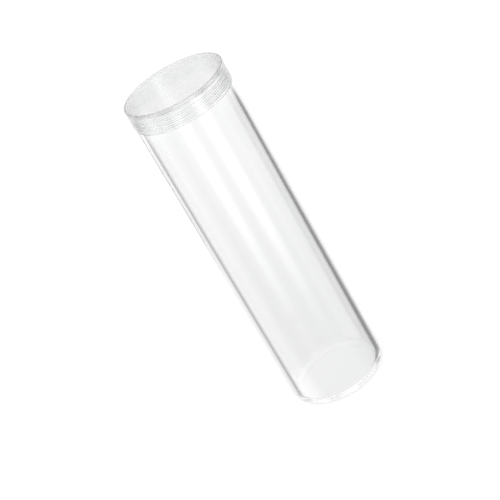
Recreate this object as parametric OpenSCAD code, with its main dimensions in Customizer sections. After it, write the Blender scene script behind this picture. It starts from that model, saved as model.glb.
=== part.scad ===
// Clear coin tube with a closed base and a frosted screw cap, standing upright.
// The origin is the middle of the flat underside, and +Z runs up the tube to the cap.

/* [Coins and bore] */
// Diameter of the coins that the tube holds
coin_d = 27; // [20:0.5:38]
// Play of a coin across the narrowest part of the bore
coin_play = 0.1; // [0.05:0.05:0.5]
// How much wider the bore's radius gets from the floor up to the mouth
bore_flare = 0.3; // [0.1:0.05:0.5]

/* [Tube] */
// Height from the underside to the top of the screwed-down cap
overall_h = 109; // [60:1:160]
// Thickness of the barrel's wall at the floor
wall = 1.7; // [1.5:0.05:2.5]
// Thickness of the floor
floor_t = 1.8; // [1.2:0.1:3]
// Radius of the outer corner around the base
base_round = 2.5; // [1:0.1:4]
// Radius of the inner corner around the floor
floor_round = 1.5; // [0.5:0.1:3]
// Radius of the edge around the shoulder under the cap
shoulder_round = 0.1; // [0.1:0.05:0.5]
// Width of the small bevel around the mouth's rim
rim_bevel = 0.15; // [0.05:0.05:0.25]

/* [Neck and thread] */
// Thickness of the neck's wall at the mouth, without the thread
neck_wall = 0.6; // [0.4:0.05:0.9]
// Rise of the thread in one turn
thread_pitch = 1.3; // [1.2:0.1:1.8]
// How far each thread ridge stands out of its wall
thread_depth = 0.3; // [0.2:0.05:0.4]
// Gap between a ridge and the wall that it faces
thread_clearance = 0.1; // [0.05:0.05:0.15]
// Gap between the sides of the tube's ridge and those of the cap's
flank_gap = 0.15; // [0.1:0.05:0.2]
// Slope of a ridge's sides against the flat
flank_angle = 30; // [15:5:35]
// Plain length between the thread and each edge that it runs towards
thread_margin = 0.25; // [0.1:0.05:0.5]
// Angle over which a ridge's ends sink back into the wall
fade_angle = 60; // [30:15:120]

/* [Cap] */
// Height of the cap
cap_h = 6.5; // [5.5:0.1:12]
// Thickness of the cap's flat top
cap_top_t = 1.1; // [0.8:0.1:2]
// Thickness of the cap's skirt, without the thread
cap_wall = 0.65; // [0.5:0.05:1.2]
// Radius of the edge around the cap's top
cap_round = 0.3; // [0.2:0.1:0.8]
// Gap between the cap's lower edge and the tube's shoulder
shoulder_gap = 0.1; // [0.1:0.05:0.5]

/* [Sealing disc] */
// Thickness of the disc that lies between the cap's top and the tube's rim
disc_t = 0.5; // [0.3:0.1:1]
// Gap around the disc inside the cap's skirt
disc_gap = 0.2; // [0.1:0.05:0.3]

/* [Hidden] */
$fn = 96;
// Sections that a ridge is swept through in one turn
rings_per_turn = 48;
// How far a ridge's back is buried in its wall
buried = 0.2;
// How deep in the wall a ridge's sunken ends stop
sunken = buried / 2;
// How far a cut runs past the face that it opens
overrun = 1;

// Radii, from the coin outwards
bore_floor_r = (coin_d + coin_play) / 2;
bore_mouth_r = bore_floor_r + bore_flare;
tube_r = bore_floor_r + wall;
neck_r = bore_mouth_r + neck_wall;
tube_crest_r = neck_r + thread_depth;
skirt_bore_r = tube_crest_r + thread_clearance;
cap_r = skirt_bore_r + cap_wall;
disc_r = skirt_bore_r - disc_gap;

// Heights, from the cap's top downwards
plate_z = overall_h - cap_top_t;
rim_z = plate_z - disc_t;
skirt_z = overall_h - cap_h;
shoulder_z = skirt_z - shoulder_gap;

// A ridge is as wide as the pitch lets it be with a gap on both of its sides
grip = thread_depth - thread_clearance;
crest_w = thread_pitch / 2 - flank_gap - grip * tan(flank_angle);
root_w = crest_w + 2 * thread_depth * tan(flank_angle);
thread_low_z = skirt_z + thread_margin + root_w / 2;
thread_high_z = rim_z - thread_margin - root_w / 2;
thread_turns = (thread_high_z - thread_low_z) / thread_pitch;

// Flat end of a half section with a rounded corner, that faces down with side -1 and up with side 1
module rounded_end(r, face_z, corner, side) {
    translate([0, min(face_z, face_z - side * corner)])
        square([r - corner, corner]);
    translate([r - corner, face_z - side * corner])
        circle(r = corner);
}

// Half of the section through a round solid that stands on a rounded corner
module footed_half(r, low, high, corner) {
    translate([0, low + corner])
        square([r, high - low - corner]);
    rounded_end(r, low, corner, -1);
}

// Four corners of a ridge's section, from its low back edge to its high one, turned to their place on the helix
function ridge_ring(back_r, tip_r, back_half, tip_half, angle, z) = [
    [back_r * cos(angle), back_r * sin(angle), z - back_half],
    [tip_r * cos(angle), tip_r * sin(angle), z - tip_half],
    [tip_r * cos(angle), tip_r * sin(angle), z + tip_half],
    [back_r * cos(angle), back_r * sin(angle), z + back_half]
];

// Right-hand screw ridge on a round wall: outwards with side 1, inwards with side -1
module ridge(wall_r, side) {
    turn = 360 * thread_turns;
    steps = ceil(rings_per_turn * thread_turns);
    fade_steps = max(1, round(rings_per_turn * fade_angle / 360));
    back_r = wall_r - side * buried;
    points = [
        for (i = [0:steps])
            let (
                shown = min(1, i / fade_steps, (steps - i) / fade_steps),
                height = thread_depth * shown - sunken * (1 - shown),
                tip_r = wall_r + side * height,
                angle = turn * i / steps,
                z = thread_low_z + thread_pitch * angle / 360
            )
            each ridge_ring(back_r, tip_r, side * root_w / 2, side * crest_w / 2, angle, z)
    ];
    sides = [
        for (i = [0:steps - 1])
            for (j = [0:3])
                let (a = 4 * i + j, b = 4 * i + (j + 1) % 4)
                each [[a, b, a + 4], [b, b + 4, a + 4]]
    ];
    last = 4 * steps;
    ends = [[0, 2, 1], [0, 3, 2], [last, last + 1, last + 2], [last, last + 2, last + 3]];
    polyhedron(points = points, faces = concat(sides, ends), convexity = 10);
}

// Closed clear tube: barrel with a rounded base, drafted bore and threaded neck
module tube() {
    color([0.88, 0.9, 0.92, 0.35])
    union() {
        rotate_extrude()
        difference() {
            union() {
                footed_half(tube_r, 0, shoulder_z - shoulder_round, base_round);
                rounded_end(tube_r, shoulder_z, shoulder_round, 1);
                polygon([
                    [0, base_round],
                    [neck_r, base_round],
                    [neck_r, rim_z - rim_bevel],
                    [neck_r - rim_bevel, rim_z],
                    [0, rim_z]
                ]);
            }
            footed_half(bore_floor_r, floor_t, floor_t + 2 * floor_round, floor_round);
            polygon([
                [0, floor_t + floor_round],
                [bore_floor_r, floor_t + floor_round],
                [bore_mouth_r, rim_z],
                [bore_mouth_r, rim_z + overrun],
                [0, rim_z + overrun]
            ]);
        }
        ridge(neck_r, 1);
    }
}

// Thin disc that seals the rim under the cap
module sealing_disc() {
    color([0.96, 0.96, 0.95, 0.8])
    translate([0, 0, rim_z])
        cylinder(r = disc_r, h = disc_t);
}

// Frosted cap: flat top, thin plain skirt, and a thread inside that is half a turn from the tube's
module cap() {
    color([0.93, 0.94, 0.95, 0.6])
    union() {
        difference() {
            translate([0, 0, overall_h])
            mirror([0, 0, 1])
            rotate_extrude()
                footed_half(cap_r, 0, cap_h, cap_round);
            translate([0, 0, skirt_z - overrun])
                cylinder(r = skirt_bore_r, h = plate_z - skirt_z + overrun);
        }
        rotate([0, 0, 180])
            ridge(skirt_bore_r, -1);
    }
}

tube();
sealing_disc();
cap();
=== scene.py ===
"""Dresses the packed coin tube: clear moulded tube, sealing disc and frosted screw cap, in a soft studio."""

import math

import bmesh
import bpy
from mathutils import Matrix, Vector


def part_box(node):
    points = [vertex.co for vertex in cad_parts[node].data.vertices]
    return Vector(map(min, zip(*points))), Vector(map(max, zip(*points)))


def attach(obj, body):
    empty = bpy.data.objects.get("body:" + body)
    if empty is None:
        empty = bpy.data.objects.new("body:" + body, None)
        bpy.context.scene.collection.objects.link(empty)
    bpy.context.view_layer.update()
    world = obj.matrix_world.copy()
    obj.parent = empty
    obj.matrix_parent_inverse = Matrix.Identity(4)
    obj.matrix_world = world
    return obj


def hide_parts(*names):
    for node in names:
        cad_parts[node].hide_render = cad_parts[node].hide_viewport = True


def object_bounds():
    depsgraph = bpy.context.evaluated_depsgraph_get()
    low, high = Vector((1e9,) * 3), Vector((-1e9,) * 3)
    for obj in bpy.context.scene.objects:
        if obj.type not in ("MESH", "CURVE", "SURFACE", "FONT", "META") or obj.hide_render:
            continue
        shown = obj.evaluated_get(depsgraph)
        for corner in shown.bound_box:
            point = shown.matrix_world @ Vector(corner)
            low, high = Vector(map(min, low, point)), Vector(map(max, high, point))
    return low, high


bl_info = {
    "name": "Coin Tube",
    "version": (1, 0, 0),
    "blender": (4, 5, 0),
    "location": "3D View > Sidebar > Coin Tube",
    "description": "Builds a clear coin tube with a frosted screw cap, and the studio around it",
    "category": "Object",
}

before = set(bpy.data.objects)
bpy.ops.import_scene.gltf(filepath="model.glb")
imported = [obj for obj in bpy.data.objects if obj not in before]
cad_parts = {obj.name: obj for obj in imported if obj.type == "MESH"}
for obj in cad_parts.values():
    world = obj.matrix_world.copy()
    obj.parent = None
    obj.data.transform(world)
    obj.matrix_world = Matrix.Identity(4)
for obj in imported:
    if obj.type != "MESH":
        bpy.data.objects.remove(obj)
CAD_LOW, CAD_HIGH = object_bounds()
TUBE_LOW, TUBE_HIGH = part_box("tube")
DISC_LOW, DISC_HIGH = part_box("sealing_disc")
CAP_LOW, CAP_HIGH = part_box("cap")


def length(name, description, default):
    """A size in metres."""
    return bpy.props.FloatProperty(
        name=name, description=description, default=default, min=0, precision=5, unit="LENGTH"
    )


def turn(name, description, degrees):
    """An angle, given in degrees."""
    return bpy.props.FloatProperty(
        name=name, description=description, default=math.radians(degrees), subtype="ANGLE"
    )


def share(name, description, default):
    """A share from nothing to all."""
    return bpy.props.FloatProperty(
        name=name, description=description, default=default, min=0, max=1, subtype="FACTOR"
    )


def amount(name, description, default):
    """A plain number that isn't negative."""
    return bpy.props.FloatProperty(name=name, description=description, default=default, min=0)


def tint(name, description, default):
    """A colour."""
    return bpy.props.FloatVectorProperty(
        name=name, description=description, default=default, size=3, min=0, max=1, subtype="COLOR"
    )


class CoinTubeBarrel(bpy.types.PropertyGroup):
    """Sizes of the clear tube"""

    outer_radius: length("Outer radius", "Radius of the barrel's outside", TUBE_HIGH.x)
    wall: length("Wall", "Thickness of the barrel's wall at the floor", 0.0017)
    floor: length("Floor", "Thickness of the floor", 0.0018)
    base_round: length("Base round", "Radius of the outer corner around the base", 0.0025)
    floor_round: length("Floor round", "Radius of the inner corner around the floor", 0.0015)
    bore_flare: length("Bore flare", "How much wider the bore's radius gets up to the mouth", 0.0003)
    neck_wall: length("Neck wall", "Thickness of the neck's wall at the mouth", 0.0006)
    shoulder_gap: length("Shoulder gap", "Gap between the cap's lower edge and the shoulder", 0.0001)
    shoulder_round: length("Shoulder round", "Radius of the edge around the shoulder", 0.0001)
    rim_round: length("Rim round", "Radius of both edges of the mouth's rim", 0.00015)


class CoinTubeScrew(bpy.types.PropertyGroup):
    """Sizes of the screw ridges of the neck and the cap"""

    pitch: length("Pitch", "Rise of the ridge in one turn", 0.0013)
    depth: length("Depth", "How far a ridge stands out of its wall", 0.0003)
    crest: length("Crest", "Width of a ridge's crest", 0.0003845)
    root: length("Root", "Width of a ridge where it meets its wall", 0.0007309)
    low: length("Low end", "Height of the middle of the ridge's lower end", 0.103115)
    high: length("High end", "Height of the middle of the ridge's upper end", 0.106785)
    fade: turn("Fade", "Angle over which a ridge's ends sink back into the wall", 60)


class CoinTubeCap(bpy.types.PropertyGroup):
    """Sizes of the screw cap and the disc under it"""

    skirt_wall: length("Skirt wall", "Thickness of the skirt, without its ridge", 0.00065)
    top_round: length("Top round", "Radius of the edge around the cap's top", 0.0003)
    lip_round: length("Lip round", "Radius of both edges of the skirt's lip", 0.0002)
    disc_play: length("Disc play", "Gap that keeps both faces of the disc off their neighbours", 0.00002)
    disc_round: length("Disc round", "Radius of the disc's edges", 0.0001)


class CoinTubeFinish(bpy.types.PropertyGroup):
    """Colours and finishes of the plastics"""

    clear_color: tint("Clear plastic", "Colour of the clear polystyrene", (0.999, 0.9995, 1.0))
    clear_shade: tint("Clear plastic, deeper", "Colour of its slightly greyer flow lines", (0.99, 0.993, 0.996))
    clear_ior: amount("Refraction, clear", "Refractive index of polystyrene", 1.59)
    polyethylene_ior: amount("Refraction, frosted", "Refractive index of polyethylene", 1.5)
    frosted_color: tint("Frosted plastic", "Colour of the cap's polyethylene", (0.992, 0.994, 0.996))
    frosted_shade: tint("Frosted plastic, deeper", "Colour of its cloudier places", (0.975, 0.978, 0.982))
    frosted_clearness: share("Cap clearness", "Share of light that goes through the cap's skin", 1.0)
    frosted_roughness: share("Cap roughness", "Roughness of the cap's skin", 0.12)
    disc_color: tint("Disc", "Colour of the sealing disc", (0.985, 0.985, 0.982))
    disc_shade: tint("Disc, deeper", "Colour of its cloudier places", (0.9653, 0.9653, 0.96236))
    disc_clearness: share("Disc clearness", "Share of light that goes through the disc", 1.0)


class CoinTubeStudio(bpy.types.PropertyGroup):
    """Camera, light and backdrop"""

    camera_distance: length("Camera distance", "Distance of the camera in front of the tube's axis", 0.42)
    camera_height: length("Camera height", "Height of the camera above the floor", 0.26098)
    camera_yaw: turn("Camera yaw", "Turn of the camera about the upright", -0.63)
    camera_pitch: turn("Camera pitch", "How far the camera looks down", 26.442)
    camera_roll: turn("Camera roll", "Lean of the camera, which lays the tube aslant in the frame", -30.281)
    camera_lens: bpy.props.FloatProperty(
        name="Lens", description="Focal length", default=114.65, min=1, unit="CAMERA"
    )
    floor_color: tint("Floor", "Colour of the floor", (0.35, 0.35, 0.35))
    floor_glow: amount("Floor glow", "Light that lifts the floor to white for the camera", 0.76)
    room_level: amount("Room level", "Brightness of the room as it lights the floor", 0.62)
    backdrop_low: share("Backdrop, low", "Brightness of the backdrop's lower part, behind the base", 0.9)
    right_edge: turn("Backdrop's right edge", "How far the white backdrop reaches to the right", 28)
    left_edge: turn("Backdrop's left edge", "How far the white backdrop reaches to the left", 37)
    left_width: turn("Left card's width", "Width of the grey card on the left", 18)
    right_level: share("Right card", "Brightness of the grey card on the right", 0.28)
    left_level: share("Left card", "Brightness of the grey card on the left", 0.45)
    right_high: amount("Right card, high", "Brightness of the right card's top, which the cap shows", 1.15)
    left_high: share("Left card, high", "Brightness of the left card's top, which the cap shows", 0.85)
    above_level: amount("Above", "Brightness of the room's upper part", 1.35)
    under_level: share("Underneath", "Brightness of the room low down, as the base's corner shows it", 0.88)
    side_level: amount("Left side", "Brightness of the soft light on the left", 1.25)
    ring_step: turn("Ring's step", "Angle between two of the dark cards that stand all round, higher up", 30)
    ring_width: turn("Ring's width", "Half of the width of each of them", 6)
    ring_level: share("Ring", "Brightness of the cards all round", 0.35)
    ring_gaps: share("Ring's gaps", "Brightness of the room between them", 0.95)
    front_high: share("Front, high", "Brightness of the room behind the camera, as the cap mirrors it", 0.8)
    front_low: share("Front, low", "Brightness of the room behind the camera, as the base mirrors it", 0.5)
    strip_level: amount("Strip light", "Brightness of the strip light beside the camera", 2.6)
    strip_place: turn("Strip's place", "Angle of the strip light to the right of the camera", 27)
    strip_width: turn("Strip's width", "Half of the strip light's width", 7)


def feed(tree, socket, value):
    """Links a socket to another one, or sets it to a plain value."""
    if isinstance(value, bpy.types.NodeSocket):
        tree.links.new(value, socket)
    else:
        socket.default_value = value


def place(tree, kind, inputs, **settings):
    """Adds a node with its settings, and feeds its inputs by name."""
    node = tree.nodes.new(kind)
    for key, value in settings.items():
        setattr(node, key, value)
    for name, value in inputs.items():
        feed(tree, node.inputs[name], value)
    return node


def maths(tree, operation, *operands):
    """Adds a Math node on numbers or sockets, and gives its result."""
    node = tree.nodes.new("ShaderNodeMath")
    node.operation = operation
    for socket, operand in zip(node.inputs, operands):
        feed(tree, socket, operand)
    return node.outputs[0]


def ramp(tree, value, low, high, at_low, at_high):
    """Turns a value smoothly from one number at low to another at high, and holds it beyond them."""
    node = place(
        tree,
        "ShaderNodeMapRange",
        {"Value": value, "From Min": low, "From Max": high, "To Min": at_low, "To Max": at_high},
        interpolation_type="SMOOTHSTEP",
    )
    return node.outputs["Result"]


def socket_id(tree, name):
    """Identifier of a tree's input, by its name."""
    sockets = (item for item in tree.interface.items_tree if item.in_out == "INPUT")
    return next(socket.identifier for socket in sockets if socket.name == name)


# The turned pieces

TURNED_TREE = "Turned Piece"
SCREW_WALL = "screw_wall"
TURNED_SEGMENTS = 512
FLANK_ROWS = 6
EDGE_ROW = 0.00003
MERGE_DISTANCE = 0.000001
SHARP_ANGLE = math.radians(45)
# How far apart the section's points lie on a flat face, on the barrel's walls and on the skirt
FLAT_STEP = 0.002
WALL_STEP = 0.01
SKIRT_STEP = 0.0015


def turned_tree():
    """Geometry nodes that turn a half section round the upright axis and raise a ridge on its threaded rows.

    The threaded rows climb with the ridge, by one pitch in the turn, so that its edges run along them.
    Those that start below the wall or end above it are held at its ends.
    """
    if TURNED_TREE in bpy.data.node_groups:
        return bpy.data.node_groups[TURNED_TREE]
    tree = bpy.data.node_groups.new(TURNED_TREE, "GeometryNodeTree")
    sockets = {
        "Section": "NodeSocketGeometry",
        "Segments": "NodeSocketInt",
        "Side": "NodeSocketFloat",
        "Pitch": "NodeSocketFloat",
        "Depth": "NodeSocketFloat",
        "Crest": "NodeSocketFloat",
        "Root": "NodeSocketFloat",
        "Low": "NodeSocketFloat",
        "High": "NodeSocketFloat",
        "Fade": "NodeSocketFloat",
        "Start": "NodeSocketFloat",
        "Wall Low": "NodeSocketFloat",
        "Wall High": "NodeSocketFloat",
        "Material": "NodeSocketMaterial",
    }
    for name, kind in sockets.items():
        tree.interface.new_socket(name, in_out="INPUT", socket_type=kind)
    tree.interface.new_socket("Piece", in_out="OUTPUT", socket_type="NodeSocketGeometry")
    given = tree.nodes.new("NodeGroupInput").outputs
    full_turn = 2 * math.pi

    # A flat grid has a column for each segment, one more to close the turn, and a row for each point
    rows = place(tree, "GeometryNodeAttributeDomainSize", {"Geometry": given["Section"]}).outputs["Point Count"]
    columns = maths(tree, "ADD", given["Segments"], 1)
    grid = place(tree, "GeometryNodeMeshGrid", {"Vertices X": columns, "Vertices Y": rows})
    index = tree.nodes.new("GeometryNodeInputIndex").outputs["Index"]
    column = maths(tree, "FLOOR", maths(tree, "DIVIDE", maths(tree, "ADD", index, 0.5), rows))
    row = maths(tree, "SUBTRACT", index, maths(tree, "MULTIPLY", column, rows))
    segment = maths(tree, "FLOORED_MODULO", column, given["Segments"])
    turned = maths(tree, "MULTIPLY", maths(tree, "DIVIDE", segment, given["Segments"]), full_turn)
    angle = maths(tree, "ADD", turned, given["Start"])
    share_of_turn = maths(tree, "DIVIDE", column, given["Segments"])

    position = tree.nodes.new("GeometryNodeInputPosition").outputs["Position"]
    on_section = place(
        tree,
        "GeometryNodeSampleIndex",
        {"Geometry": given["Section"], "Index": row},
        data_type="FLOAT_VECTOR",
    )
    tree.links.new(position, on_section.inputs["Value"])
    point = place(tree, "ShaderNodeSeparateXYZ", {"Vector": on_section.outputs["Value"]}).outputs
    marked = place(tree, "GeometryNodeInputNamedAttribute", {"Name": SCREW_WALL}, data_type="FLOAT")
    threaded = place(
        tree,
        "GeometryNodeSampleIndex",
        {"Geometry": given["Section"], "Index": row},
        data_type="FLOAT",
    )
    tree.links.new(marked.outputs["Attribute"], threaded.inputs["Value"])

    # The coil that a row belongs to, how far off its middle the row lies, and how far along the ridge it is
    in_coils = maths(tree, "DIVIDE", maths(tree, "SUBTRACT", point["Z"], given["Low"]), given["Pitch"])
    coil = maths(tree, "ROUND", in_coils)
    off_coil = maths(tree, "ABSOLUTE", maths(tree, "SUBTRACT", in_coils, coil))
    off = maths(tree, "MULTIPLY", off_coil, given["Pitch"])
    along = maths(tree, "ADD", share_of_turn, coil)
    half_crest = maths(tree, "DIVIDE", given["Crest"], 2)
    half_root = maths(tree, "DIVIDE", given["Root"], 2)
    flank = ramp(tree, off, half_crest, half_root, 1, 0)
    turns = maths(tree, "DIVIDE", maths(tree, "SUBTRACT", given["High"], given["Low"]), given["Pitch"])
    to_end = maths(tree, "MINIMUM", along, maths(tree, "SUBTRACT", turns, along))
    shown = ramp(tree, to_end, 0, maths(tree, "DIVIDE", given["Fade"], full_turn), 0, 1)
    height = maths(tree, "MULTIPLY", maths(tree, "MULTIPLY", flank, shown), threaded.outputs["Value"])
    raised = maths(tree, "MULTIPLY", maths(tree, "MULTIPLY", height, given["Depth"]), given["Side"])
    radius = maths(tree, "ADD", point["X"], raised)
    climbed = maths(tree, "ADD", point["Z"], maths(tree, "MULTIPLY", given["Pitch"], share_of_turn))
    held = maths(tree, "MINIMUM", maths(tree, "MAXIMUM", climbed, given["Wall Low"]), given["Wall High"])
    climb = maths(tree, "MULTIPLY", maths(tree, "SUBTRACT", held, point["Z"]), threaded.outputs["Value"])

    spot = place(
        tree,
        "ShaderNodeCombineXYZ",
        {
            "X": maths(tree, "MULTIPLY", radius, maths(tree, "COSINE", angle)),
            "Y": maths(tree, "MULTIPLY", radius, maths(tree, "SINE", angle)),
            "Z": maths(tree, "ADD", point["Z"], climb),
        },
    )
    placed = place(
        tree, "GeometryNodeSetPosition", {"Geometry": grid.outputs["Mesh"], "Position": spot.outputs["Vector"]}
    )
    closed = place(
        tree,
        "GeometryNodeMergeByDistance",
        {"Geometry": placed.outputs["Geometry"], "Distance": MERGE_DISTANCE},
    )
    smooth = place(tree, "GeometryNodeSetShadeSmooth", {"Geometry": closed.outputs["Geometry"]})
    real = place(tree, "GeometryNodeRealizeInstances", {"Geometry": smooth.outputs["Geometry"]})
    dressed = place(
        tree, "GeometryNodeSetMaterial", {"Geometry": real.outputs["Geometry"], "Material": given["Material"]}
    )
    tree.links.new(dressed.outputs["Geometry"], tree.nodes.new("NodeGroupOutput").inputs["Piece"])
    return tree


def straight(start, end, step):
    """Points of the section from start up to just before end, about step apart, and one more close to each end.

    The close ones keep the smooth shading of a rounded edge off the flat face beside it.
    """
    whole = math.dist(start, end)
    count = max(1, round(whole / step))
    close = min(EDGE_ROW, whole / count / 3)
    places = [0, close] + [whole * i / count for i in range(1, count)] + [whole - close]
    run, rise = end[0] - start[0], end[1] - start[1]
    return [(start[0] + run * p / whole, start[1] + rise * p / whole) for p in places]


def arc(centre_r, centre_z, radius, first, last, steps):
    """Points of the section on an arc between two angles in degrees, without its last point."""
    angles = [math.radians(first + (last - first) * i / steps) for i in range(steps)]
    return [(centre_r + radius * math.cos(a), centre_z + radius * math.sin(a)) for a in angles]


def threaded_rows(radius, low, high):
    """Points up a threaded wall that follow the ridge's section, from a pitch below it to just above it."""
    screw = bpy.context.scene.coin_tube_screw
    crest, root = screw.crest / 2, screw.root / 2
    flank = [crest + (root - crest) * i / FLANK_ROWS for i in range(FLANK_ROWS + 1)]
    offs = [-off for off in reversed(flank)] + [0] + flank + [screw.pitch / 2]
    first = math.floor((low - screw.low) / screw.pitch) - 2
    last = math.ceil((high - screw.low) / screw.pitch) + 1
    heights = [screw.low + screw.pitch * coil + off for coil in range(first, last + 1) for off in offs]
    below = max(i for i, height in enumerate(heights) if height <= low - screw.pitch)
    above = min(i for i, height in enumerate(heights) if height >= high)
    return [(radius, height) for height in heights[below : above + 1]]


def turned_piece(name, parts, material, side=0, start=0, wall=(0, 0)):
    """Plain closed mesh of a half section, which is given as lists of points with a mark for threaded ones."""
    points = [(r, 0, z) for part, _ in parts for r, z in part]
    marks = [float(threaded) for part, threaded in parts for _ in part]
    section = bpy.data.meshes.new(f"{name}_section")
    section.from_pydata(points, [(i, i + 1) for i in range(len(points) - 1)], [])
    section.attributes.new(SCREW_WALL, "FLOAT", "POINT").data.foreach_set("value", marks)
    outline = bpy.data.objects.new(f"{name}_section", section)
    bpy.context.scene.collection.objects.link(outline)

    tree = turned_tree()
    screw = bpy.context.scene.coin_tube_screw
    values = {
        "Segments": TURNED_SEGMENTS,
        "Side": float(side),
        "Pitch": screw.pitch,
        "Depth": screw.depth,
        "Crest": screw.crest,
        "Root": screw.root,
        "Low": screw.low,
        "High": screw.high,
        "Fade": screw.fade,
        "Start": float(start),
        "Wall Low": float(wall[0]),
        "Wall High": float(wall[1]),
        "Material": material,
    }
    modifier = outline.modifiers.new("Turned", "NODES")
    modifier.node_group = tree
    for socket_name, value in values.items():
        modifier[socket_id(tree, socket_name)] = value
    evaluated = outline.evaluated_get(bpy.context.evaluated_depsgraph_get())
    mesh = bpy.data.meshes.new_from_object(evaluated)
    mesh.name = name
    bpy.data.objects.remove(outline)
    bpy.data.meshes.remove(section)

    shape = bmesh.new()
    shape.from_mesh(mesh)
    closed = all(edge.is_manifold for edge in shape.edges)
    volume = shape.calc_volume(signed=True)
    shape.free()
    if not closed or volume <= 0:
        raise RuntimeError(f"{name} isn't closed, or its faces point inwards: volume {volume}")
    mesh.set_sharp_from_angle(angle=SHARP_ANGLE)
    piece = bpy.data.objects.new(name, mesh)
    bpy.context.scene.collection.objects.link(piece)
    return piece


def settle(piece, body, node):
    """Puts a finished piece on its body, in place of its CAD node, which it hides."""
    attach(piece, body)
    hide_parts(node)


# The finishes


def group(name, inputs, outputs):
    """An empty shader node group with named inputs and outputs."""
    tree = bpy.data.node_groups.new(name, "ShaderNodeTree")
    for socket_name, (kind, default) in inputs.items():
        tree.interface.new_socket(socket_name, in_out="INPUT", socket_type=kind).default_value = default
    for socket_name, kind in outputs.items():
        tree.interface.new_socket(socket_name, in_out="OUTPUT", socket_type=kind)
    return tree, tree.nodes.new("NodeGroupInput").outputs, tree.nodes.new("NodeGroupOutput").inputs


def object_place(tree, scale):
    """Object coordinates with their own scale on each axis."""
    where = tree.nodes.new("ShaderNodeTexCoord").outputs["Object"]
    return place(tree, "ShaderNodeMapping", {"Vector": where, "Scale": scale}).outputs["Vector"]


def flow_lines():
    """Group: long soft waves that the plastic leaves as it flows up the mould."""
    name = "Moulding Flow"
    if name in bpy.data.node_groups:
        return bpy.data.node_groups[name]
    tree, given, out = group(
        name,
        {
            "Scale": ("NodeSocketFloat", 60.0),
            "Length": ("NodeSocketFloat", 8.0),
            "Detail": ("NodeSocketFloat", 1.0),
        },
        {"Height": "NodeSocketFloat"},
    )
    along = maths(tree, "DIVIDE", 1, given["Length"])
    stretch = place(tree, "ShaderNodeCombineXYZ", {"X": 1, "Y": 1, "Z": along})
    where = object_place(tree, (1, 1, 1))
    scaled = place(tree, "ShaderNodeVectorMath", {}, operation="MULTIPLY")
    tree.links.new(where, scaled.inputs[0])
    tree.links.new(stretch.outputs["Vector"], scaled.inputs[1])
    noise = place(
        tree,
        "ShaderNodeTexNoise",
        {
            "Vector": scaled.outputs["Vector"],
            "Scale": given["Scale"],
            "Detail": given["Detail"],
            "Roughness": 0.45,
        },
    )
    tree.links.new(noise.outputs["Fac"], out["Height"])
    return tree


def hairlines():
    """Group: a mask of thin handling scratches, thicker in some patches than in others."""
    name = "Handling Hairlines"
    if name in bpy.data.node_groups:
        return bpy.data.node_groups[name]
    tree, given, out = group(
        name,
        {
            "Scale": ("NodeSocketFloat", 300.0),
            "Width": ("NodeSocketFloat", 0.01),
            "Wear": ("NodeSocketFloat", 0.4),
        },
        {"Mask": "NodeSocketFloat"},
    )
    where = object_place(tree, (1, 0.35, 0.08))
    lines = place(
        tree,
        "ShaderNodeTexNoise",
        {"Vector": where, "Scale": given["Scale"], "Detail": 2.0, "Roughness": 0.4, "Distortion": 0.6},
    )
    off = maths(tree, "ABSOLUTE", maths(tree, "SUBTRACT", lines.outputs["Fac"], 0.5))
    thin = ramp(tree, off, 0, given["Width"], 1, 0)
    patches = place(
        tree, "ShaderNodeTexNoise", {"Vector": object_place(tree, (1, 1, 0.5)), "Scale": 130.0, "Detail": 1.0}
    )
    worn = ramp(tree, patches.outputs["Fac"], maths(tree, "SUBTRACT", 1, given["Wear"]), 0.85, 0, 1)
    tree.links.new(maths(tree, "MULTIPLY", thin, worn), out["Mask"])
    return tree


def cloudiness():
    """Group: soft clouds between two colours, as in plastic that is thicker or milkier in places."""
    name = "Cloudy Plastic"
    if name in bpy.data.node_groups:
        return bpy.data.node_groups[name]
    tree, given, out = group(
        name,
        {
            "Color": ("NodeSocketColor", (1, 1, 1, 1)),
            "Shade": ("NodeSocketColor", (0.9, 0.9, 0.9, 1)),
            "Scale": ("NodeSocketFloat", 80.0),
        },
        {"Color": "NodeSocketColor"},
    )
    where = object_place(tree, (1, 1, 0.4))
    noise = place(tree, "ShaderNodeTexNoise", {"Vector": where, "Scale": given["Scale"], "Detail": 3.0})
    clouds = ramp(tree, noise.outputs["Fac"], 0.3, 0.75, 0, 1)
    colors = {"Factor": clouds, "A": given["Color"], "B": given["Shade"]}
    mixed = place(tree, "ShaderNodeMix", colors, data_type="RGBA")
    tree.links.new(mixed.outputs["Result"], out["Color"])
    return tree


def grain():
    """Group: the fine satin grain of a frosted skin."""
    name = "Satin Grain"
    if name in bpy.data.node_groups:
        return bpy.data.node_groups[name]
    tree, given, out = group(name, {"Scale": ("NodeSocketFloat", 4000.0)}, {"Height": "NodeSocketFloat"})
    noise = place(
        tree,
        "ShaderNodeTexNoise",
        {"Vector": object_place(tree, (1, 1, 1)), "Scale": given["Scale"], "Detail": 2.0, "Roughness": 0.6},
    )
    tree.links.new(noise.outputs["Fac"], out["Height"])
    return tree


def put_group(tree, source, inputs):
    """Places a shader node group with its own values."""
    node = tree.nodes.new("ShaderNodeGroup")
    node.node_tree = source
    for name, value in inputs.items():
        feed(tree, node.inputs[name], value)
    return node


def plastic(name, settings):
    """A material with a bare Principled shader and plain values on its sockets."""
    material = bpy.data.materials.new(name)
    material.use_nodes = True
    tree = material.node_tree
    shader = tree.nodes["Principled BSDF"]
    for socket_name, value in settings.items():
        shader.inputs[socket_name].default_value = value
    return material, tree, shader


def clouded(tree, shader, color, shade, scale):
    """Feeds soft clouds between two colours to the shader's colour."""
    clouds = put_group(tree, cloudiness(), {"Color": (*color, 1), "Shade": (*shade, 1), "Scale": scale})
    tree.links.new(clouds.outputs["Color"], shader.inputs["Base Color"])


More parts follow.
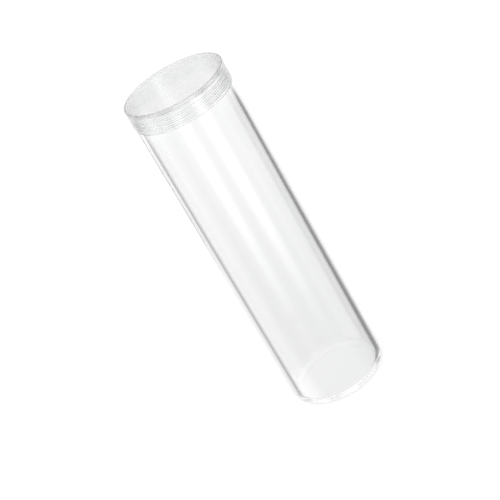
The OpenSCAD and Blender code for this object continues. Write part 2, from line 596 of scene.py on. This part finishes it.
def bumped(tree, shader, height, strength, distance):
    """Feeds a height to the shader's normal through a Bump node."""
    bump = place(tree, "ShaderNodeBump", {"Height": height, "Strength": strength, "Distance": distance})
    tree.links.new(bump.outputs["Normal"], shader.inputs["Normal"])


def clear_polystyrene():
    """Polished clear plastic with faint flow lines and a few handling hairlines."""
    finish = bpy.context.scene.coin_tube_finish
    material, tree, shader = plastic(
        "clear_polystyrene",
        {"Transmission Weight": 1.0, "IOR": finish.clear_ior},
    )
    clouded(tree, shader, finish.clear_color, finish.clear_shade, scale=45.0)
    marks = put_group(tree, hairlines(), {"Scale": 260.0, "Width": 0.012, "Wear": 0.45})
    polished, scratched = 0.012, 0.09
    tree.links.new(ramp(tree, marks.outputs["Mask"], 0, 1, polished, scratched), shader.inputs["Roughness"])
    flow = put_group(tree, flow_lines(), {"Scale": 110.0, "Length": 9.0, "Detail": 1.0})
    bumped(tree, shader, flow.outputs["Height"], strength=0.2, distance=0.00025)
    return material


def frosted_polyethylene():
    """Satin, translucent plastic of the cap."""
    finish = bpy.context.scene.coin_tube_finish
    material, tree, shader = plastic(
        "frosted_polyethylene",
        {"Transmission Weight": finish.frosted_clearness, "IOR": finish.polyethylene_ior},
    )
    clouded(tree, shader, finish.frosted_color, finish.frosted_shade, scale=160.0)
    marks = put_group(tree, hairlines(), {"Scale": 420.0, "Width": 0.02, "Wear": 0.5})
    satin, scratched = finish.frosted_roughness, finish.frosted_roughness + 0.12
    tree.links.new(ramp(tree, marks.outputs["Mask"], 0, 1, satin, scratched), shader.inputs["Roughness"])
    skin = put_group(tree, grain(), {"Scale": 3500.0})
    bumped(tree, shader, skin.outputs["Height"], strength=0.15, distance=0.00003)
    return material


def disc_polyethylene():
    """Thin translucent plastic of the sealing disc."""
    finish = bpy.context.scene.coin_tube_finish
    material, tree, shader = plastic(
        "disc_polyethylene",
        {"Transmission Weight": finish.disc_clearness, "IOR": finish.polyethylene_ior},
    )
    clouded(tree, shader, finish.disc_color, finish.disc_shade, scale=220.0)
    skin = put_group(tree, grain(), {"Scale": 2500.0})
    smooth, rough = 0.05, 0.1
    tree.links.new(ramp(tree, skin.outputs["Height"], 0.3, 0.7, smooth, rough), shader.inputs["Roughness"])
    bumped(tree, shader, skin.outputs["Height"], strength=0.12, distance=0.00003)
    return material


# The studio

# Heights in the room, in degrees, between which one part of it passes into the next
LOWER_ROOM = (-50, -38)
BACKDROP_FADE = (-33, -20)
FRONT_FADE = (-33, -18)
STRIP_FOOT = (-32, -23)
CARD_TOP = (-21.9, -20.9)
RING_FOOT = (-18.5, -15.5)
STRIP_TOP = (0, 10)
RING_TOP = (15, 20)
UPPER_ROOM = (30, 54)
# Directions in the room, in degrees to the right of straight behind the object, used in the same way
SIDE_LIGHT_END = (-120, -90)
FRONT_SIDES = (105, 130)
# Half of the angle, in degrees, over which the edge of a card is blurred
EDGE_SOFTNESS = 3
# Light crosses the cap's top and the base's corner by many reflections inside the plastic
PLASTIC_BOUNCES = 160
FLOOR_BOUNCES = 32
# Half of the floor's width, and how far the floor lies under the object
FLOOR_REACH = 3.0
FLOOR_DROP = 0.0001


def floor_finish(studio):
    """Pale floor that keeps the object's shadow, and lets gloss and clear plastic see the white room instead.

    From below it is clear, so that the underside shows.
    """
    material = bpy.data.materials.new("studio_floor")
    material.use_nodes = True
    tree = material.node_tree
    tree.nodes.clear()
    ray = tree.nodes.new("ShaderNodeLightPath").outputs
    pale = place(tree, "ShaderNodeBsdfDiffuse", {"Color": (*studio.floor_color, 1)})
    lift = maths(tree, "MULTIPLY", ray["Is Camera Ray"], studio.floor_glow)
    glow = place(tree, "ShaderNodeEmission", {"Color": (1, 1, 1, 1), "Strength": lift})
    seen = tree.nodes.new("ShaderNodeAddShader")
    tree.links.new(pale.outputs["BSDF"], seen.inputs[0])
    tree.links.new(glow.outputs["Emission"], seen.inputs[1])
    through = tree.nodes.new("ShaderNodeBsdfTransparent")
    mixed = tree.nodes.new("ShaderNodeMixShader")
    looked_at = maths(tree, "MAXIMUM", ray["Is Glossy Ray"], ray["Is Transmission Ray"])
    below = tree.nodes.new("ShaderNodeNewGeometry").outputs["Backfacing"]
    tree.links.new(maths(tree, "MAXIMUM", looked_at, below), mixed.inputs["Fac"])
    tree.links.new(seen.outputs["Shader"], mixed.inputs[1])
    tree.links.new(through.outputs["BSDF"], mixed.inputs[2])
    tree.links.new(mixed.outputs["Shader"], tree.nodes.new("ShaderNodeOutputMaterial").inputs["Surface"])
    return material


def across(tree, value, band, at_low=0, at_high=1):
    """Passes from one number to another while an angle crosses a band, which is given in degrees."""
    low, high = band
    return ramp(tree, value, math.radians(low), math.radians(high), at_low, at_high)


def blend(tree, first, second, factor):
    """Passes from one brightness to another as the factor goes from 0 to 1."""
    inputs = {"Factor": factor, "A": first, "B": second}
    return place(tree, "ShaderNodeMix", inputs, data_type="FLOAT").outputs["Result"]


def studio_level(tree, studio, azimuth, height):
    """Brightness, by direction, of the studio that gloss and clear plastic see.

    The backdrop stands behind the object, and the cards and the soft light beside it. The strip light is beside
    the camera. The ring of cards stands all round, above what the photograph's view shows.
    """
    soft = math.radians(EDGE_SOFTNESS)
    right = ramp(tree, azimuth, studio.right_edge - soft, studio.right_edge + soft, 0, 1)
    left_far = studio.left_edge + studio.left_width
    left_near_side = ramp(tree, azimuth, -studio.left_edge - soft, -studio.left_edge + soft, 1, 0)
    left_far_side = ramp(tree, azimuth, -left_far - 2 * soft, -left_far, 0, 1)
    left = maths(tree, "MULTIPLY", left_near_side, left_far_side)
    over_cards = across(tree, height, CARD_TOP)
    right_level = blend(tree, studio.right_level, studio.right_high, over_cards)
    left_level = blend(tree, studio.left_level, studio.left_high, over_cards)
    side_near = ramp(tree, azimuth, -left_far - 5 * soft, -left_far, 1, 0)
    side = maths(tree, "MULTIPLY", side_near, across(tree, azimuth, SIDE_LIGHT_END))

    behind_level = across(tree, height, BACKDROP_FADE, studio.backdrop_low, 1)
    front = across(tree, maths(tree, "ABSOLUTE", azimuth), FRONT_SIDES)
    front_level = across(tree, height, FRONT_FADE, studio.front_low, studio.front_high)

    off_strip = maths(tree, "ABSOLUTE", maths(tree, "SUBTRACT", azimuth, math.pi - studio.strip_place))
    strip = ramp(tree, off_strip, studio.strip_width - 2 * soft, studio.strip_width + 5 * soft, 1, 0)
    strip_foot, strip_top = across(tree, height, STRIP_FOOT), across(tree, height, STRIP_TOP, 1, 0)
    strip = maths(tree, "MULTIPLY", strip, maths(tree, "MULTIPLY", strip_foot, strip_top))

    in_step = maths(tree, "FLOORED_MODULO", maths(tree, "DIVIDE", azimuth, studio.ring_step), 1)
    off_middle = maths(tree, "ABSOLUTE", maths(tree, "SUBTRACT", in_step, 0.5))
    off_card = maths(tree, "MULTIPLY", off_middle, studio.ring_step)
    inner, outer = studio.ring_width - soft, studio.ring_width + soft
    ring_level = ramp(tree, off_card, inner, outer, studio.ring_level, studio.ring_gaps)
    ring_foot, ring_top = across(tree, height, RING_FOOT), across(tree, height, RING_TOP, 1, 0)
    ring = maths(tree, "MULTIPLY", ring_foot, ring_top)

    level = blend(tree, behind_level, right_level, right)
    level = blend(tree, level, left_level, left)
    level = blend(tree, level, studio.side_level, side)
    level = blend(tree, level, front_level, front)
    level = blend(tree, level, ring_level, ring)
    level = blend(tree, level, studio.strip_level, strip)
    level = blend(tree, level, studio.above_level, across(tree, height, UPPER_ROOM))
    return blend(tree, level, studio.under_level, across(tree, height, LOWER_ROOM, 1, 0))


def room_finish(studio):
    """World: white for the camera, a plain level for the floor, and the studio for gloss and clear plastic."""
    world = bpy.data.worlds.new("studio_room")
    world.use_nodes = True
    tree = world.node_tree
    tree.nodes.clear()
    ray = tree.nodes.new("ShaderNodeLightPath").outputs
    heading = tree.nodes.new("ShaderNodeTexCoord").outputs["Generated"]
    part = place(tree, "ShaderNodeSeparateXYZ", {"Vector": heading}).outputs
    azimuth = maths(tree, "ARCTAN2", part["X"], part["Y"])
    height = maths(tree, "ARCSINE", part["Z"])
    looked_at = maths(tree, "MAXIMUM", ray["Is Glossy Ray"], ray["Is Transmission Ray"])
    level = blend(tree, studio.room_level, studio_level(tree, studio, azimuth, height), looked_at)
    level = blend(tree, level, 1.0, ray["Is Camera Ray"])
    light = place(tree, "ShaderNodeBackground", {"Color": (1, 1, 1, 1), "Strength": level})
    tree.links.new(light.outputs["Background"], tree.nodes.new("ShaderNodeOutputWorld").inputs["Surface"])
    return world


def lamp(name, where, size, power):
    """A square soft light that faces the middle of the tube.

    Gloss and clear plastic don't see it, so it only lights the floor and draws the object's shadow on it.
    """
    data = bpy.data.lights.new(name, "AREA")
    data.shape = "SQUARE"
    data.size = size
    data.energy = power
    light = bpy.data.objects.new(name, data)
    bpy.context.scene.collection.objects.link(light)
    light.location = where
    middle = (CAD_LOW + CAD_HIGH) / 2
    light.rotation_mode = "QUATERNION"
    light.rotation_quaternion = (middle - Vector(where)).to_track_quat("-Z", "Y")
    light.visible_glossy = False
    light.visible_transmission = False


def camera(studio):
    """The camera looks down at the standing tube and leans, so that the tube lies aslant in the frame."""
    data = bpy.data.cameras.new("camera")
    data.lens = studio.camera_lens
    data.clip_start = 0.01
    viewer = bpy.data.objects.new("camera", data)
    bpy.context.scene.collection.objects.link(viewer)
    yaw, pitch = studio.camera_yaw, studio.camera_pitch
    ahead = Vector((math.sin(yaw) * math.cos(pitch), math.cos(yaw) * math.cos(pitch), -math.sin(pitch)))
    level_right = ahead.cross(Vector((0, 0, 1))).normalized()
    level_up = level_right.cross(ahead)
    lean = Matrix.Rotation(studio.camera_roll, 3, -ahead)
    right, up = lean @ level_right, lean @ level_up
    turned = Matrix((right, up, -ahead)).transposed().to_4x4()
    viewer.matrix_world = Matrix.Translation((0, -studio.camera_distance, studio.camera_height)) @ turned
    bpy.context.scene.camera = viewer


class COINTUBE_OT_tube(bpy.types.Operator):
    """Make the clear tube with its threaded neck"""

    bl_idname = "coin_tube.tube"
    bl_label = "Clear Tube"

    def execute(self, context):
        tube = context.scene.coin_tube_barrel
        outer, low, rim = tube.outer_radius, TUBE_LOW.z, TUBE_HIGH.z
        bore_floor = outer - tube.wall
        bore_mouth = bore_floor + tube.bore_flare
        neck = bore_mouth + tube.neck_wall
        shoulder = CAP_LOW.z - tube.shoulder_gap
        floor = low + tube.floor
        foot, edge, lip, inner = tube.base_round, tube.shoulder_round, tube.rim_round, tube.floor_round
        outside = (
            straight((0, low), (outer - foot, low), FLAT_STEP)
            + arc(outer - foot, low + foot, foot, -90, 0, steps=18)
            + straight((outer, low + foot), (outer, shoulder - edge), WALL_STEP)
            + arc(outer - edge, shoulder - edge, edge, 0, 90, steps=4)
            + [(outer - edge, shoulder)]
        )
        wall = (shoulder, rim - lip)
        threaded = threaded_rows(neck, *wall)
        inside = (
            arc(neck - lip, rim - lip, lip, 0, 90, steps=5)
            + arc(bore_mouth + lip, rim - lip, lip, 90, 180, steps=5)
            + straight((bore_mouth, rim - lip), (bore_floor, floor + inner), WALL_STEP)
            + arc(bore_floor - inner, floor + inner, inner, 0, -90, steps=14)
            + straight((bore_floor - inner, floor), (0, floor), FLAT_STEP)
            + [(0, floor)]
        )
        parts = [(outside, False), (threaded, True), (inside, False)]
        piece = turned_piece("clear_tube", parts, clear_polystyrene(), side=1, wall=wall)
        settle(piece, "tube", "tube")
        return {"FINISHED"}


class COINTUBE_OT_disc(bpy.types.Operator):
    """Make the thin disc that seals the rim under the cap"""

    bl_idname = "coin_tube.disc"
    bl_label = "Sealing Disc"

    def execute(self, context):
        cap = context.scene.coin_tube_cap
        outer, edge = DISC_HIGH.x, cap.disc_round
        low, high = DISC_LOW.z + cap.disc_play, DISC_HIGH.z - cap.disc_play
        section = (
            straight((0, low), (outer - edge, low), FLAT_STEP)
            + arc(outer - edge, low + edge, edge, -90, 0, steps=4)
            + arc(outer - edge, high - edge, edge, 0, 90, steps=4)
            + straight((outer - edge, high), (0, high), FLAT_STEP)
            + [(0, high)]
        )
        piece = turned_piece("seal_disc", [(section, False)], disc_polyethylene())
        settle(piece, "liner", "sealing_disc")
        return {"FINISHED"}


class COINTUBE_OT_cap(bpy.types.Operator):
    """Make the frosted screw cap with the thread inside its skirt"""

    bl_idname = "coin_tube.cap"
    bl_label = "Screw Cap"

    def execute(self, context):
        cap = context.scene.coin_tube_cap
        outer, low, top = CAP_HIGH.x, CAP_LOW.z, CAP_HIGH.z
        bore, ceiling = outer - cap.skirt_wall, DISC_HIGH.z
        edge, lip = cap.top_round, cap.lip_round
        under = straight((0, ceiling), (bore, ceiling), FLAT_STEP)
        wall = (low + lip, ceiling)
        threaded = threaded_rows(bore, *wall)[::-1]
        outside = (
            arc(bore + lip, low + lip, lip, -180, -90, steps=4)
            + arc(outer - lip, low + lip, lip, -90, 0, steps=4)
            + straight((outer, low + lip), (outer, top - edge), SKIRT_STEP)
            + arc(outer - edge, top - edge, edge, 0, 90, steps=10)
            + straight((outer - edge, top), (0, top), FLAT_STEP)
            + [(0, top)]
        )
        parts = [(under, False), (threaded, True), (outside, False)]
        piece = turned_piece("screw_cap", parts, frosted_polyethylene(), side=-1, start=math.pi, wall=wall)
        settle(piece, "cap", "cap")
        return {"FINISHED"}


class COINTUBE_OT_studio(bpy.types.Operator):
    """Set up the floor, the room, the lights and the camera"""

    bl_idname = "coin_tube.studio"
    bl_label = "Studio"

    def execute(self, context):
        scene, studio = context.scene, context.scene.coin_tube_studio
        scene.view_settings.view_transform = "Standard"
        scene.cycles.max_bounces = PLASTIC_BOUNCES
        scene.cycles.diffuse_bounces = FLOOR_BOUNCES
        scene.cycles.glossy_bounces = PLASTIC_BOUNCES
        scene.cycles.transmission_bounces = PLASTIC_BOUNCES
        camera(studio)
        scene.world = room_finish(studio)
        mesh = bpy.data.meshes.new("studio_floor")
        sides = ((-1, -1), (1, -1), (1, 1), (-1, 1))
        corners = [(FLOOR_REACH * x, FLOOR_REACH * y, CAD_LOW.z - FLOOR_DROP) for x, y in sides]
        mesh.from_pydata(corners, [], [(0, 1, 2, 3)])
        mesh.materials.append(floor_finish(studio))
        floor = bpy.data.objects.new("studio_floor", mesh)
        scene.collection.objects.link(floor)
        lamp("key_light", where=(-0.24, -0.36, 0.5), size=0.3, power=1.8)
        lamp("fill_light", where=(0.42, -0.1, 0.42), size=0.35, power=0.8)
        return {"FINISHED"}


class COINTUBE_PT_panel(bpy.types.Panel):
    """Lists the pieces of the coin tube and its studio"""

    bl_idname = "COINTUBE_PT_panel"
    bl_label = "Coin Tube"
    bl_space_type = "VIEW_3D"
    bl_region_type = "UI"
    bl_category = "Coin Tube"

    def draw(self, context):
        column = self.layout.column(align=True)
        for operator in OPERATORS:
            column.operator(operator.bl_idname)
        for settings in SETTINGS:
            box = self.layout.box()
            box.label(text=SETTINGS[settings].__doc__)
            values = getattr(context.scene, settings)
            for key in SETTINGS[settings].__annotations__:
                box.prop(values, key)


OPERATORS = (COINTUBE_OT_tube, COINTUBE_OT_disc, COINTUBE_OT_cap, COINTUBE_OT_studio)
SETTINGS = {
    "coin_tube_barrel": CoinTubeBarrel,
    "coin_tube_screw": CoinTubeScrew,
    "coin_tube_cap": CoinTubeCap,
    "coin_tube_finish": CoinTubeFinish,
    "coin_tube_studio": CoinTubeStudio,
}


def register():
    """Registers the settings, the operators and the panel."""
    for name, settings in SETTINGS.items():
        bpy.utils.register_class(settings)
        setattr(bpy.types.Scene, name, bpy.props.PointerProperty(type=settings))
    for operator in OPERATORS:
        bpy.utils.register_class(operator)
    bpy.utils.register_class(COINTUBE_PT_panel)


def unregister():
    """Takes everything that register adds away again."""
    bpy.utils.unregister_class(COINTUBE_PT_panel)
    for operator in reversed(OPERATORS):
        bpy.utils.unregister_class(operator)
    for name, settings in reversed(SETTINGS.items()):
        delattr(bpy.types.Scene, name)
        bpy.utils.unregister_class(settings)


def main():
    """Makes every piece and the studio."""
    register()
    bpy.ops.coin_tube.tube()
    bpy.ops.coin_tube.disc()
    bpy.ops.coin_tube.cap()
    bpy.ops.coin_tube.studio()


if __name__ == "__main__":
    main()
